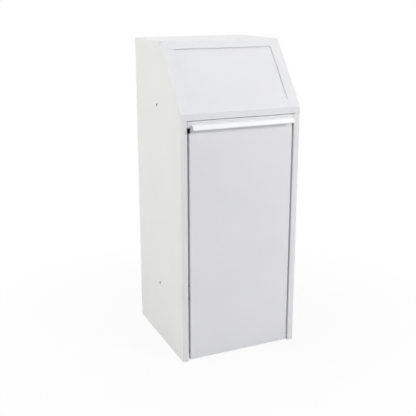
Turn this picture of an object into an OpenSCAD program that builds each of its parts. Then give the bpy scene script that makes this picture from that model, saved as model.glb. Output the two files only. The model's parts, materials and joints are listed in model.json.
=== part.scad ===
// Free-standing recycling bin cabinet in folded, powder-coated sheet steel.
// Waste is pushed in through a sprung flap in the sloping hood and falls into a bag. The bag hangs in
// a cradle on the back of the door, which tilts out on two pins at its lower corners.
// Origin: centre of the cabinet's footprint, on the floor. +X right, -Y front, +Z up. Millimetres.

/* [Cabinet] */
// Overall width, over the side flanges of the top cover
body_w = 408; // [390:1:450]
// Overall depth without the grip, from the front face to the back flange of the top cover
body_d = 405; // [385:1:450]
// Overall height
body_h = 1007; // [990:1:1040]
// Height at which the front starts to slope back
front_h = 804; // [796:1:812]
// Depth of the flat top
top_d = 249; // [240:1:260]
// Thickness of the folded sheets
sheet = 1; // [0.8:0.1:1.2]
// Inside radius of every bend in the sheet
bend_r = 1; // [0.6:0.1:1.4]
// Width of the front posts, folded from the side panels
post_w = 20.5; // [19:0.5:23]
// Depth of the inner leg of each front post
post_leg = 40; // [38:1:44]
// Width of the side panels' rear flanges
rear_flange_w = 20; // [16:1:26]
// Height of the flanges round the floor pan
pan_flange_h = 25; // [18:1:30]
// Height of the floor pan's front flange, behind the door
pan_front_h = 12; // [8:1:14]
// Depth of the forward return along the back panel's top
back_return = 15; // [10:1:25]
// Gap at a seam between two sheets that lie in one plane
seam = 0.2; // [0.1:0.1:0.6]

/* [Hood] */
// Height of the plain front rail between the door and the slope
rail_h = 20.5; // [18:0.5:23]
// Depth of the fold under the front rail
rail_return = 24; // [23.5:0.5:27]
// Drop of the stop flange behind the door's top edge
stop_drop = 12; // [10:1:13]
// Length of the lip that the slope sheet has under the top cover
top_lip = 30; // [20:1:40]
// Distance from the slope's top edge back to the cover's front edge
cover_setback = 11; // [8:1:16]
// Height of the flanges round the top cover
cover_flange_h = 17; // [12:1:20]

/* [Flap] */
// Distance from each side of the cabinet to the opening in the slope
opening_side = 36; // [35:1:44]
// Distance from the slope's top edge to the opening
opening_top = 28; // [27:1:32]
// Distance from the slope's lower edge to the opening
opening_foot = 30; // [28:1:48]
// Overlap of the flap behind the opening's sides and lower edge
flap_lap = 8; // [7:0.5:9]
// Gap between the slope sheet and the flap, filled by the bumpers
flap_gap = 1.5; // [1.3:0.1:2]
// Depth of the returns round the flap
flap_return = 14; // [13:0.5:16]
// Distance of the rod above the opening's top edge
rod_above = 8; // [7:0.5:9]
// Depth of the rod's centre below the flap's face
rod_below = 7.5; // [7:0.1:8]
// Diameter of the flap's hinge rod
rod_d = 6; // [5:0.5:6.5]
// Wire diameter of the flap's torsion springs
spring_wire = 1.4; // [1.2:0.1:1.5]
// Turns of each torsion spring
spring_turns = 5; // [3:1:6]
// Pitch of the turns of each torsion spring
spring_pitch = 2; // [1.95:0.05:2.2]
// Length of the spring leg that presses on the flap
spring_flap_leg = 45; // [30:1:60]
// Length of the spring leg that presses on the slope sheet
spring_frame_leg = 12; // [10:1:14]

/* [Door] */
// Gap between the door and each post
door_side_gap = 6; // [5.5:0.5:7]
// Gap between the door and the rail
door_top_gap = 1.6; // [1.4:0.2:3.4]
// Height of the door's lower edge above the floor
door_low = 4; // [3.5:0.5:6]
// Depth of the returns round the door
door_return = 20; // [18:0.5:20.5]
// Height of the ears that close the gaps to the posts at the door's upper corners
ear_h = 20; // [16:1:24]
// Gap between each ear and the post
ear_gap = 0.6; // [0.5:0.1:1.5]
// Height of the notch under each ear, beside the grip
notch_h = 16; // [12:1:18]
// Depth of this notch into the door's edge
notch_in = 3; // [2:0.5:4]
// Height of the door's pivot above the floor
pivot_h = 18; // [17:0.5:20]
// Distance of the door's pivot behind the front face
pivot_in = 8; // [7.5:0.5:9]
// Diameter of the pivot pins
pivot_d = 6; // [5:0.5:7]
// Angle to which the door tilts out
door_tilt = 35; // [25:1:38]
// Width of the hat-shaped stiffeners behind the door
hat_w = 30; // [26:1:34]
// Depth of the hat-shaped stiffeners
hat_d = 15; // [12:0.5:16]
// Width of each stiffener's feet
hat_foot = 12; // [8:1:14]
// Distance of each stiffener's centre in from the side of the bag holder's ring
hat_in = 27; // [24:1:36]
// Height of the stiffeners' lower ends
hat_low = 32; // [30:1:40]
// Height of the stiffeners' upper ends
hat_high = 742; // [700:1:745]

/* [Grip] */
// Thickness of the grip profile
grip_t = 1.2; // [1:0.1:1.5]
// Distance from the door's top edge down to the top of the grip
grip_below = 9.5; // [8:0.5:10.5]
// Height of the grip
grip_h = 15.5; // [14:0.5:16.5]
// How far the top of the grip stands out
grip_out_top = 19; // [16:0.5:21]
// How far the lower edge of the grip stands out
grip_out_low = 25; // [23:0.5:28]
// Length of the turned-in lower edge of the grip
grip_hem = 5; // [4:0.5:7]
// Inside radius of the grip's bends
grip_r = 2; // [1.5:0.1:2.5]
// Distance from each end of the grip to the door's edge
grip_inset = 4.5; // [3:0.5:7]

/* [Door stays] */
// Radius of the curved slot about the door's pivot
stay_r = 220; // [200:1:240]
// Width of each curved stay
stay_w = 22; // [20:1:26]
// Thickness of each stay
stay_t = 2; // [1.5:0.1:2.5]
// Diameter of the pins that run in the stays
stay_pin_d = 8; // [7:0.5:9]
// Distance of these pins behind the front face
stay_pin_in = 30; // [29:0.5:32]
// Clearance round a stay pin in its slot
stay_slack = 0.3; // [0.2:0.1:0.5]

/* [Bag holder] */
// Gap between each side of the ring and the post
ring_side = 27.5; // [26.5:0.5:37.5]
// Depth of the ring
ring_d = 300; // [280:1:310]
// Height of the ring's top edge
ring_top = 665; // [600:1:670]
// Height of the ring's bar
ring_bar_h = 25; // [22:1:30]
// Thickness of the ring's bar
ring_t = 3; // [2.5:0.5:3.5]
// Outside radius of the ring's corners
ring_r = 30; // [25:1:40]
// Distance from the front face to the ring
ring_in = 34; // [32:1:38]
// Diameter of the wire clamp round the ring
clamp_d = 6; // [5:0.5:6]
// Bend radius at the middle of the clamp's wire, at its hinge ends
clamp_bend = 7; // [6.5:0.5:7.5]
// Distance from the ring's back to the clamp's hinge
clamp_back = 38; // [36:1:50]
// Thickness of the brackets that carry the ring
bracket_t = 2.5; // [2:0.5:3]
// Length of each bracket's arm
bracket_l = 200; // [150:1:220]
// Height of each bracket
bracket_h = 112; // [100:1:130]

/* [Bag tray] */
// Gap between each side of the tray and the post
tray_side = 29.5; // [25:0.5:42]
// Depth of the tray
tray_d = 312; // [290:1:320]
// Height of the tray's underside above the floor
tray_low = 26; // [22:1:30]
// Height of the tray's front flange and of its sides at the front
tray_front_h = 110; // [90:1:130]
// Height of the tray's rear flange and of its sides at the back
tray_back_h = 30; // [20:1:40]

/* [Fasteners] */
// Diameter of the holes for bolting cabinets side by side
coupling_d = 6; // [5:0.5:8]
// Distance of these holes from the floor, and of the upper ones from the top
coupling_z = 200; // [180:1:220]
// Diameter of the rivet shanks
rivet_d = 4; // [3.2:0.1:4.8]
// Diameter of the larger screws
screw_d = 5; // [4:0.5:5]
// Diameter of the smaller screws
small_screw_d = 4; // [3:0.5:4]
// Rivets along each rear flange
rear_rivets = 6; // [4:1:9]
// Rivets along the grip
grip_rivets = 5; // [3:1:7]

/* [Fits] */
// Clearance between parts that move past each other, and at stops
gap = 0.3; // [0.25:0.05:0.35]
// Radial clearance of pins in their bushes
run_fit = 0.05; // [0.03:0.01:0.08]
// Radial clearance of fixed pins, screws and rivets in their holes
hole_fit = 0.1; // [0.05:0.05:0.2]

/* [Hidden] */
$fn = 64;

// Main planes of the cabinet
half = sheet / 2;
front_y = -body_d / 2;
side_x = body_w / 2 - sheet;
post_x = side_x - post_w;
shell_back = body_d / 2 - sheet;
shell_h = body_h - sheet;
rail_z = front_h - rail_h;
bend_out = bend_r + sheet;
// How far a straight leg runs into the bend beside it, so that the two are one solid
fold_lap = 0.02;
// Relief between the end of a fold and the flat sheet beside it
relief = 0.5;
// How far a cutting shape reaches past the face that it cuts
over = 1;
drill = 5;

// The slope, which runs from the front's upper edge back to the top
slope_run = body_d - top_d;
slope_a = atan2(shell_h - front_h, slope_run);
slope_l = norm([shell_h - front_h, slope_run]);
opening_w = body_w - 2 * opening_side;
opening_y1 = slope_l - opening_top;
opening_y0 = opening_foot;
opening_l = opening_y1 - opening_y0;
// Underside of the side panels' flanges that carry the slope sheet, and how far these stop short
flange_z = -2 * sheet - hole_fit;
flange_end = bend_out + 2;
cover_y0 = front_y + slope_run + cover_setback;

// The flap, in the slope's own plane: Y up the slope, Z outwards
flap_z = -sheet - flap_gap;
flap_w = opening_w + 2 * flap_lap;
flap_y0 = opening_y0 - flap_lap;
rod_y = opening_y1 + rod_above;
flap_y1 = rod_y + 1;
rod_z = flap_z - rod_below;
bush_wall = 1.5;
bush_r = rod_d / 2 + run_fit + bush_wall;
bush_flange_r = bush_r + 2;
bush_flange_t = 1.4;
bush_tail = 1.5;
rod_bracket_t = 2.5;
rod_bracket_r = 9;
rod_bracket_x = flap_w / 2 + bush_flange_t + 2 * gap;
clip_t = 0.8;
clip_rim = 2;
clip_groove = 0.5;
groove_x = rod_bracket_x + rod_bracket_t + gap;
groove_w = clip_t + 2 * run_fit;
rod_end = groove_x + groove_w + 2;

// The door and its pivot
door_w = 2 * (post_x - door_side_gap);
door_x = door_w / 2;
door_top = rail_z - door_top_gap;
pivot_y = front_y + pivot_in;
pivot_bush_wall = 1.6;
pivot_flange_t = 2;
pivot_bush_r = pivot_d / 2 + run_fit + pivot_bush_wall;
pivot_plate_t = 3;
pivot_plate_h = 45;
pivot_head_t = 3;
pivot_pin_tip = 3;
ear_x = post_x - ear_gap;
notch_x = door_x - notch_in;
// How far the ears run into the face
ear_root = 2;
stay_pin_a = asin((stay_pin_in - pivot_in) / stay_r);
stay_tab_h = 62;
stay_tab_r = 4;
stay_screw_pitch = 44;
stay_screw_in = 10;

// The bag holder behind the door
ring_w = 2 * (post_x - ring_side);
tray_w = 2 * (post_x - tray_side);
hat_x = ring_w / 2 - hat_in;
hat_back = front_y + sheet + hat_d;
ring_y = front_y + ring_in;
ring_z = ring_top - ring_bar_h;
bracket_top = ring_z + ring_bar_h / 2 - 0.5;
bracket_flange = 12;
bracket_root = 30;
bracket_tip = 14;
bracket_hole_r = 15;
bracket_hole_y = 48;
bracket_hole_z = 44;
clamp_z = bracket_top + gap + clamp_d / 2;
clamp_y = ring_y + ring_d - clamp_back;
clamp_x = ring_w / 2 + gap + clamp_bend;
clamp_front_y = ring_y - clamp_d / 2 - 5 * gap;
clamp_corner = 30;
tray_shoulder = 4;
tray_flat = 60;

// Radius of a screw's head as a share of its shank's diameter
head_share = 0.9;

// Screw and rivet positions
grip_rivet_end = 30;
grip_rivet_z = door_top - grip_below - grip_h + 6;
bracket_screw_top = 12;
bracket_screw_pitch = 66;
bracket_screw_z = [ring_z - bracket_screw_top, ring_z - bracket_screw_top - bracket_screw_pitch];
ring_screw_front = 60;
ring_screw_pitch = 90;
ring_screw_y = [ring_y + ring_screw_front, ring_y + ring_screw_front + ring_screw_pitch];
ring_screw_z = bracket_top - bracket_t - bend_r - head_share * small_screw_d - gap;
tray_screw_low = 40;
tray_screw_pitch = 50;
tray_screw_z = [tray_low + tray_screw_low, tray_low + tray_screw_low + tray_screw_pitch];
coupling_y = 0;

steel_white = [0.86, 0.865, 0.875];
zinc = [0.68, 0.7, 0.72];
rubber_grey = [0.2, 0.2, 0.21];
nylon = [0.82, 0.81, 0.77];

// Extrusions along each axis. The profile's first axis is Y and its second Z along X, X and Z along
// Y, and X and Y along Z.
module along_x(x0, x1) {
    translate([x0, 0, 0])
        rotate([90, 0, 90])
            linear_extrude(x1 - x0)
                children();
}

module along_y(y0, y1) {
    translate([0, y1, 0])
        rotate([90, 0, 0])
            linear_extrude(y1 - y0)
                children();
}

module along_z(z0, z1) {
    translate([0, 0, z0])
        linear_extrude(z1 - z0)
            children();
}

module both_sides() {
    children();
    mirror([1, 0, 0])
        children();
}

// The slope's own plane: origin at its lower edge, Y up the slope, Z outwards
module on_slope() {
    translate([0, front_y, front_h])
        rotate([slope_a, 0, 0])
            children();
}

// Y of the slope at a height, for a plane that lies a depth below its surface
function slope_y(z, depth) = front_y + (z - front_h) / tan(slope_a) + depth / sin(slope_a);

// Height at which that plane meets the front's plane at the same depth
function slope_foot(depth) = front_h + depth * (1 - 1 / sin(slope_a)) * tan(slope_a);

// Folded sheet: the section of a strip of thickness t whose middle plane follows the path p, with
// every bend made to the inside radius r
function unit(a) = [cos(a), sin(a)];
function heading(p, i) = atan2(p[i + 1][1] - p[i][1], p[i + 1][0] - p[i][0]);
function wrap(a) = a > 180 ? a - 360 : a < -180 ? a + 360 : a;
function turn(p, i) = wrap(heading(p, i) - heading(p, i - 1));
function setback(p, i, r) = i == 0 || i == len(p) - 1 ? 0 : r * tan(abs(turn(p, i)) / 2);

function leg_start(p, i, r) = i == 0 ? 0 : setback(p, i, r) - fold_lap;
function leg_end(p, i, r) = i == len(p) - 1 ? 0 : setback(p, i, r) - fold_lap;

module folded(p, t, r) {
    mid_r = r + t / 2;
    for (i = [0 : len(p) - 2])
        translate(p[i])
            rotate(heading(p, i))
                translate([leg_start(p, i, mid_r), -t / 2])
                    square([norm(p[i + 1] - p[i]) - leg_start(p, i, mid_r) - leg_end(p, i + 1, mid_r), t]);
    if (len(p) > 2)
        for (i = [1 : len(p) - 2])
            fold(p, i, t, mid_r);
}

module fold(p, i, t, mid_r) {
    side = sign(turn(p, i));
    in_a = heading(p, i - 1);
    start = in_a - 90 * side;
    reach = 2 * (mid_r + t);
    translate(p[i] - setback(p, i, mid_r) * unit(in_a) + side * mid_r * unit(in_a + 90))
        intersection() {
            ring_2d(mid_r + t / 2, mid_r - t / 2);
            polygon([[0, 0], reach * unit(start), reach * unit(start + turn(p, i) / 2),
                     reach * unit(start + turn(p, i))]);
        }
}

module ring_2d(outer, inner) {
    difference() {
        circle(outer);
        circle(inner);
    }
}

// Rectangle from corner a to corner b, with corners of radius r where round_low and round_high say:
// the two at the low end of its second axis, and the two at the high end
module rounded(a, b, r, round_low, round_high) {
    low = round_low ? r : 0;
    high = round_high ? r : 0;
    translate([a[0], a[1] + low])
        square([b[0] - a[0], b[1] - a[1] - low - high]);
    if (round_low)
        translate([a[0], a[1]])
            round_end(b[0] - a[0], r);
    if (round_high)
        translate([a[0], b[1]])
            mirror([0, 1])
                round_end(b[0] - a[0], r);
}

module round_end(w, r) {
    translate([r, 0])
        square([w - 2 * r, r]);
    for (x = [r, w - r])
        intersection() {
            translate([x, r])
                circle(r);
            translate([x == r ? 0 : w - r, 0])
                square([r, r]);
        }
}

// What lies outside a round corner at its high end, to be cut away
module outside_corner(r) {
    difference() {
        square(r + over);
        circle(r);
    }
}

// Screw along +X from x = 0: domed head behind, shank, and a hexagon nut over the grip length
module screw(d, grip) {
    rotate([0, 90, 0]) {
        translate([0, 0, -0.55 * d])
            cylinder(h = 0.2 * d, r1 = 0.65 * d, r2 = head_share * d);
        translate([0, 0, -0.35 * d])
            cylinder(h = 0.35 * d, r = head_share * d);
        cylinder(h = grip + d, d = d);
    }
}

module nut(d, x) {
    translate([x, 0, 0])
        rotate([0, 90, 0])
            difference() {
                cylinder(h = 0.75 * d, r = 0.92 * d, $fn = 6);
                translate([0, 0, -1])
                    cylinder(h = d + 2, d = d + 2 * hole_fit);
            }
}

// Blind rivet along +Y from y = 0: flat dome in front, shank, and the upset end behind the sheets
module rivet(d, grip) {
    rotate([-90, 0, 0]) {
        translate([0, 0, -0.35 * d])
            cylinder(h = 0.35 * d, r1 = 0.6 * d, r2 = d);
        cylinder(h = grip + 0.4 * d, d = d);
        translate([0, 0, grip])
            cylinder(h = 0.7 * d, r1 = 0.75 * d, r2 = 0.55 * d);
    }
}

// SIDES, BACK, FLOOR AND TOP
// Right side panel: one folded section over the whole height, with the post in front and the rear
// flange, cut back under the rail and the slope sheet, with a flange to carry each of them
module side_sheet() {
    wall = side_x - half;
    difference() {
        along_z(0, shell_h - sheet)
            folded([[post_x + half, front_y + post_leg], [post_x + half, front_y + half],
                    [wall, front_y + half], [wall, shell_back - half],
                    [side_x - rear_flange_w, shell_back - half]], sheet, bend_r);
        along_x(0, side_x + over)
            over_slope();
        translate([post_x - over, front_y, rail_z - seam])
            cube([post_w - sheet + over, post_leg + over, body_h]);
        coupling_holes(side_x);
        rear_rivet_holes();
        post_pin_holes();
    }
    on_slope()
        translate([post_x, flange_end, flange_z])
            cube([post_w - half, slope_l - 2.5 * flange_end, sheet]);
    translate([post_x, front_y + sheet + hole_fit, rail_z + flange_end])
        cube([post_w - half, sheet, rail_h - 2 * flange_end]);
}

// Outline of the space that the rail and the slope sheet take from the side panels
module over_slope() {
    polygon([[front_y - over, rail_z - seam], [front_y + sheet, rail_z - seam],
             [front_y + sheet, slope_foot(sheet)], [slope_y(body_h, sheet), body_h],
             [front_y - over, body_h]]);
}

module coupling_holes(x) {
    for (z = [coupling_z, body_h - coupling_z])
        translate([x - drill, coupling_y, z])
            rotate([0, 90, 0])
                cylinder(h = 2 * drill, d = coupling_d);
}

module right_side_panel() {
    color(steel_white)
        side_sheet();
}

module left_side_panel() {
    color(steel_white)
        mirror([1, 0, 0])
            side_sheet();
}

// Rivet centres along one rear flange, which join it to the back panel
rear_rivet_x = side_x - rear_flange_w / 2;
rear_rivet_end = 50;
rear_rivet_pitch = (shell_h - 2 * rear_rivet_end) / (rear_rivets - 1);
rear_rivet_zs = [for (i = [0 : rear_rivets - 1]) rear_rivet_end + i * rear_rivet_pitch];

module rear_rivet_holes() {
    for (z = rear_rivet_zs)
        translate([rear_rivet_x, shell_back - drill, z])
            rotate([-90, 0, 0])
                cylinder(h = 2 * drill, d = rivet_d + 2 * hole_fit);
}

module back_panel() {
    y = shell_back - sheet - half;
    x = side_x - bend_out - 1;
    color(steel_white)
        difference() {
            along_x(-x, x)
                folded([[y - back_return, shell_h - half], [y, shell_h - half], [y, sheet + gap]],
                       sheet, bend_r);
            both_sides()
                rear_rivet_holes();
        }
}

module cabinet_rivets() {
    color(steel_white)
        both_sides()
            for (z = rear_rivet_zs)
                translate([rear_rivet_x, shell_back, z])
                    rotate([0, 0, 180])
                        rivet(rivet_d, 2 * sheet);
}

// Floor pan, folded up on all four sides
module floor_pan() {
    y0 = front_y + post_leg + 1;
    y1 = shell_back - 2 * sheet;
    x = side_x - sheet - gap;
    color(steel_white)
        difference() {
            intersection() {
                along_y(y0, y1)
                    rounded([-x, 0], [x, pan_flange_h], bend_out, true, false);
                along_x(-x, x)
                    pan_outline(y0, y1, 0, bend_out);
            }
            intersection() {
                along_y(y0 + sheet, y1 - sheet)
                    rounded([sheet - x, sheet], [x - sheet, pan_flange_h + over], bend_r, true, false);
                along_x(-x, x)
                    rounded([y0 + sheet, sheet], [y1 - sheet, pan_flange_h + over], bend_r, true, false);
            }
        }
}

// Side view of the pan: its front flange is lower than the others
module pan_outline(y0, y1, z, r) {
    difference() {
        rounded([y0, z], [y1, z + pan_flange_h], r, true, false);
        translate([y0 - over, pan_front_h])
            square([over + bend_out, pan_flange_h]);
    }
}

// Top cover, open at the front, with flanges outside the side and back panels
module top_cover() {
    y1 = body_d / 2;
    z0 = body_h - cover_flange_h;
    color(steel_white)
        difference() {
            cover_form(cover_y0, y1, body_w / 2, z0, body_h, bend_out);
            cover_form(cover_y0 - over, y1 - sheet, side_x, z0 - over, body_h - sheet, bend_r);
        }
}

module cover_form(y0, y1, x, z0, z1, r) {
    intersection() {
        along_y(y0, y1)
            rounded([-x, z0], [x, z1], r, false, true);
        along_x(-x, x)
            difference() {
                translate([y0, z0])
                    square([y1 - y0, z1 - z0]);
                translate([y1 - r, z1 - r])
                    outside_corner(r);
            }
    }
}

// SLOPE SHEET
// One sheet: stop flange, fold under the rail, rail, slope with the flap's opening, and top lip
module slope_frame() {
    stop_y = front_y + rail_return - half;
    path = [[stop_y, rail_z - stop_drop], [stop_y, rail_z + half], [front_y + half, rail_z + half],
            [front_y + half, slope_foot(half)], [slope_y(shell_h - half, half), shell_h - half],
            [slope_y(shell_h - half, half) + top_lip, shell_h - half]];
    color(steel_white)
        difference() {
            union() {
                difference() {
                    along_x(-side_x, side_x)
                        folded(path, sheet, bend_r);
                    slope_frame_corners();
                }
                both_sides()
                    rail_tab();
            }
            on_slope()
                translate([-opening_w / 2, opening_y0, -drill])
                    cube([opening_w, opening_l, 2 * drill]);
            catch_screw_holes();
        }
}

// The fold under the rail and the stop flange run between the posts, and the top lip between the
// rounded corners of the cover
module slope_frame_corners() {
    fold_x = post_x - gap;
    lip_x = side_x - bend_r - gap;
    both_sides() {
        translate([fold_x, front_y - over, rail_z - stop_drop - over])
            cube([side_x - fold_x + over, rail_return + 2 * over, stop_drop + bend_out + over]);
        translate([lip_x, cover_y0 - gap, shell_h - sheet - over])
            cube([side_x - lip_x + over, top_lip, sheet + 2 * over]);
    }
}

// Flat end of the rail, which meets the top of the post in one plane
module rail_tab() {
    x = post_x - gap + relief;
    translate([x, front_y, rail_z])
        cube([side_x - x, sheet, bend_out + fold_lap]);
}

// FLAP HINGE, ON THE CABINET
module rod_bracket() {
    x1 = rod_bracket_x + rod_bracket_t;
    foot_w = side_x - sheet - x1 - 2 * gap;
    on_slope()
        difference() {
            union() {
                along_x(rod_bracket_x, x1) {
                    translate([rod_y - rod_bracket_r, rod_z])
                        square([2 * rod_bracket_r, flange_z - rod_z]);
                    translate([rod_y, rod_z])
                        circle(rod_bracket_r);
                }
                translate([x1 - fold_lap, rod_y - rod_bracket_r, flange_z - rod_bracket_t])
                    cube([foot_w, 2 * rod_bracket_r, rod_bracket_t]);
            }
            along_x(rod_bracket_x - over, x1 + over)
                translate([rod_y, rod_z])
                    circle(rod_d / 2 + run_fit);
        }
}

module right_rod_bracket() {
    color(zinc)
        rod_bracket();
}

module left_rod_bracket() {
    color(zinc)
        mirror([1, 0, 0])
            rod_bracket();
}

// Rod with a groove near each end for its retaining ring
module flap_rod() {
    color(zinc)
        on_slope()
            translate([0, rod_y, rod_z])
                difference() {
                    along_x(-rod_end, rod_end)
                        circle(d = rod_d);
                    both_sides()
                        along_x(groove_x, groove_x + groove_w)
                            ring_2d(rod_d, rod_d / 2 - clip_groove);
                }
}

module rod_clips() {
    color(zinc)
        on_slope()
            translate([0, rod_y, rod_z])
                both_sides()
                    along_x(groove_x + run_fit, groove_x + run_fit + clip_t)
                        difference() {
                            circle(rod_d / 2 + clip_rim);
                            circle(rod_d / 2 - clip_groove + run_fit);
                            translate([0, -rod_d])
                                square([rod_d / 3, 2 * rod_d], center = true);
                        }
}

// Bumpers glued behind the slope sheet, on which the closed flap rests
module flap_bumpers() {
    color(rubber_grey)
        on_slope()
            for (x = [-0.42, 0, 0.42] * opening_w)
                translate([x, opening_y0 - flap_lap / 2, -sheet - flap_gap + gap])
                    cylinder(h = flap_gap - gap, d = flap_lap - 2);
}

// FLAP
// Flap folded in on three sides, with an ear for the rod at the top of each side
module flap_panel() {
    x = flap_w / 2;
    z0 = flap_z - flap_return;
    color(steel_white)
        on_slope()
            difference() {
                union() {
                    difference() {
                        flap_form(x, flap_y0, z0, flap_z, bend_out);
                        flap_form(x - sheet, flap_y0 + sheet, z0 - over, flap_z - sheet, bend_r);
                    }
                    both_sides()
                        along_x(x - sheet, x)
                            translate([rod_y, rod_z])
                                circle(rod_below);
                }
                along_x(-x - over, x + over)
                    translate([rod_y, rod_z])
                        circle(bush_r + hole_fit / 2);
            }
}

module flap_form(x, y0, z0, z1, r) {
    intersection() {
        along_y(y0, flap_y1)
            rounded([-x, z0], [x, z1], r, false, true);
        along_x(-x, x)
            difference() {
                translate([y0, z0])
                    square([flap_y1 - y0, z1 - z0]);
                translate([y0 + r, z1 - r])
                    mirror([1, 0])
                        outside_corner(r);
            }
    }
}

// Flanged nylon bush, pressed into the flap's ear and turning on the rod
module flap_bush() {
    x = flap_w / 2;
    on_slope()
        translate([0, rod_y, rod_z])
            difference() {
                union() {
                    along_x(x - sheet - bush_tail, x + gap)
                        circle(bush_r);
                    along_x(x + gap / 2, x + gap / 2 + bush_flange_t)
                        circle(bush_flange_r);
                }
                along_x(x - 2 * drill, x + drill)
                    circle(rod_d / 2 + run_fit);
            }
}

module right_flap_bush() {
    color(nylon)
        flap_bush();
}

module left_flap_bush() {
    color(nylon)
        mirror([1, 0, 0])
            flap_bush();
}

// Torsion spring round the rod, wound as one wire: a straight leg along the flap, the turns, and a
// straight leg up to the slope sheet
spring_x = flap_w / 2 - sheet - bush_tail - spring_wire;
spring_r = rod_below - sheet - gap - spring_wire / 2;
spring_rise = asin((sheet + flap_gap - gap) / (spring_frame_leg + 8));
spring_sweep = 360 * spring_turns - spring_rise;
spring_rings = 8 * spring_turns;

function spring_a(i) = 90 - spring_sweep * i / spring_rings;
function spring_at(i) = [spring_x - spring_pitch * spring_sweep / 360 * i / spring_rings,
                         spring_r * cos(spring_a(i)), spring_r * sin(spring_a(i))];
function along(a) = [0, sin(a), -cos(a)];
function wire_ring(c, a) = [for (k = [0 : 5])
    c + spring_wire / 2 * (cos(60 * k) * [0, cos(a), sin(a)] + sin(60 * k) * [1, 0, 0])];

spring_gaps = [for (i = [8 : spring_rings]) norm(spring_at(i) - spring_at(i - 8)) - spring_wire];
echo("least gap between the turns of a flap spring", min(spring_gaps));

module flap_spring() {
    last = spring_a(spring_rings);
    rings = concat([wire_ring(spring_at(0) - spring_flap_leg * along(90), 90)],
                   [for (i = [0 : spring_rings]) wire_ring(spring_at(i), spring_a(i))],
                   [wire_ring(spring_at(spring_rings) + spring_frame_leg * along(last), last)]);
    n = len(rings);
    walls = [for (i = [0 : n - 2]) for (k = [0 : 5]) for (f = [0, 1])
        f == 0 ? [6 * i + k, 6 * i + (k + 1) % 6, 6 * i + 6 + k]
               : [6 * i + (k + 1) % 6, 6 * i + 6 + (k + 1) % 6, 6 * i + 6 + k]];
    ends = concat([for (k = [1 : 4]) [0, k + 1, k]],
                  [for (k = [1 : 4]) [6 * n - 6, 6 * n - 6 + k, 6 * n - 5 + k]]);
    on_slope()
        translate([0, rod_y, rod_z])
            polyhedron([for (r = rings) for (v = r) v], concat(walls, ends));
}

module right_flap_spring() {
    color(zinc)
        flap_spring();
}

module left_flap_spring() {
    color(zinc)
        mirror([1, 0, 0])
            flap_spring();
}

// DOOR PIVOTS, STAY PINS, BUMPERS AND CATCH, ON THE CABINET
// Plate welded inside the post, which backs the pivot pin
module pivot_plate() {
    along_x(post_x + sheet, post_x + sheet + pivot_plate_t)
        difference() {
            translate([front_y + bend_out + gap, gap])
                square([post_leg - bend_out - 2 * gap, pivot_plate_h]);
            translate([pivot_y, pivot_h])
                circle(pivot_d / 2 + hole_fit);
        }
}

module right_pivot_plate() {
    color(zinc)
        pivot_plate();
}

module left_pivot_plate() {
    color(zinc)
        mirror([1, 0, 0])
            pivot_plate();
}

// Headed pin through the post's leg into the door's bush
module pivot_pin() {
    back = post_x + sheet + pivot_plate_t;
    translate([0, pivot_y, pivot_h]) {
        along_x(door_x - sheet - pivot_pin_tip, back + 1)
            circle(d = pivot_d);
        along_x(back, back + pivot_head_t)
            circle(d = 2 * pivot_d);
    }
}

module right_pivot_pin() {
    color(zinc)
        pivot_pin();
}

module left_pivot_pin() {
    color(zinc)
        mirror([1, 0, 0])
            pivot_pin();
}

// Shouldered pin on the post's leg, on whose neck the curved stay slides
stay_x0 = door_x - sheet - stay_t;
stay_pin_z = pivot_h + stay_r * cos(stay_pin_a);
stay_head_t = 2.5;
stay_head_d = stay_pin_d + 7;
stay_shoulder_d = stay_pin_d + 4;
stay_rivet_d = stay_pin_d + 6;
stay_rivet_t = 3;

module stay_pin() {
    translate([0, front_y + stay_pin_in, stay_pin_z]) {
        along_x(stay_x0 - gap - stay_head_t, stay_x0 - gap)
            circle(d = stay_head_d);
        along_x(stay_x0 - gap - 1, post_x + sheet + 1)
            circle(d = stay_pin_d);
        along_x(door_x - sheet + gap, post_x)
            circle(d = stay_shoulder_d);
        along_x(post_x + sheet, post_x + sheet + stay_rivet_t)
            circle(d = stay_rivet_d);
    }
}

module post_pin_holes() {
    translate([0, front_y + stay_pin_in, stay_pin_z])
        along_x(post_x - over, post_x + sheet + over)
            circle(d = stay_pin_d + 2 * hole_fit);
    translate([0, pivot_y, pivot_h])
        along_x(post_x - over, post_x + sheet + over)
            circle(d = pivot_d + 2 * hole_fit);
}

module right_stay_pin() {
    color(zinc)
        stay_pin();
}

module left_stay_pin() {
    color(zinc)
        mirror([1, 0, 0])
            stay_pin();
}

// Bumpers glued to the stop flange, against which the door's top return rests
module door_bumpers() {
    y0 = front_y + door_return + gap;
    color(rubber_grey)
        for (x = [-0.4, 0.4] * door_w)
            translate([x, y0, rail_z - stop_drop / 2])
                rotate([-90, 0, 0])
                    cylinder(h = front_y + rail_return - sheet - y0, d = stop_drop - 2);
}

// Magnetic catch behind the stop flange: a plastic housing and the magnet in its lower front
catch_w = 46;
catch_d = 16;
catch_h = 24;
magnet_w = 36;
magnet_h = 8;
magnet_d = 10;
catch_y = front_y + rail_return;
magnet_z = rail_z - stop_drop - magnet_h - 1.5;
catch_plate_t = 2;
catch_crank = 6;
catch_foot = 22;
catch_screw_r = 1.5;
catch_screw_l = 10;
catch_head_t = 1.2;

module magnet_housing() {
    color(rubber_grey)
        difference() {
            translate([-catch_w / 2, catch_y, rail_z - catch_h])
                cube([catch_w, catch_d, catch_h]);
            translate([-magnet_w / 2 - hole_fit, catch_y - over, magnet_z - hole_fit])
                cube([magnet_w + 2 * hole_fit, magnet_d + over + hole_fit, magnet_h + 2 * hole_fit]);
            catch_screw_holes();
        }
}

module catch_magnet() {
    color(zinc)
        translate([-magnet_w / 2, catch_y, magnet_z])
            cube([magnet_w, magnet_d, magnet_h]);
}

module at_catch_screws() {
    for (x = [-0.34, 0.34] * catch_w)
        translate([x, front_y + rail_return - sheet, rail_z - stop_drop / 2])
            rotate([0, 0, 90])
                children();
}

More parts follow.
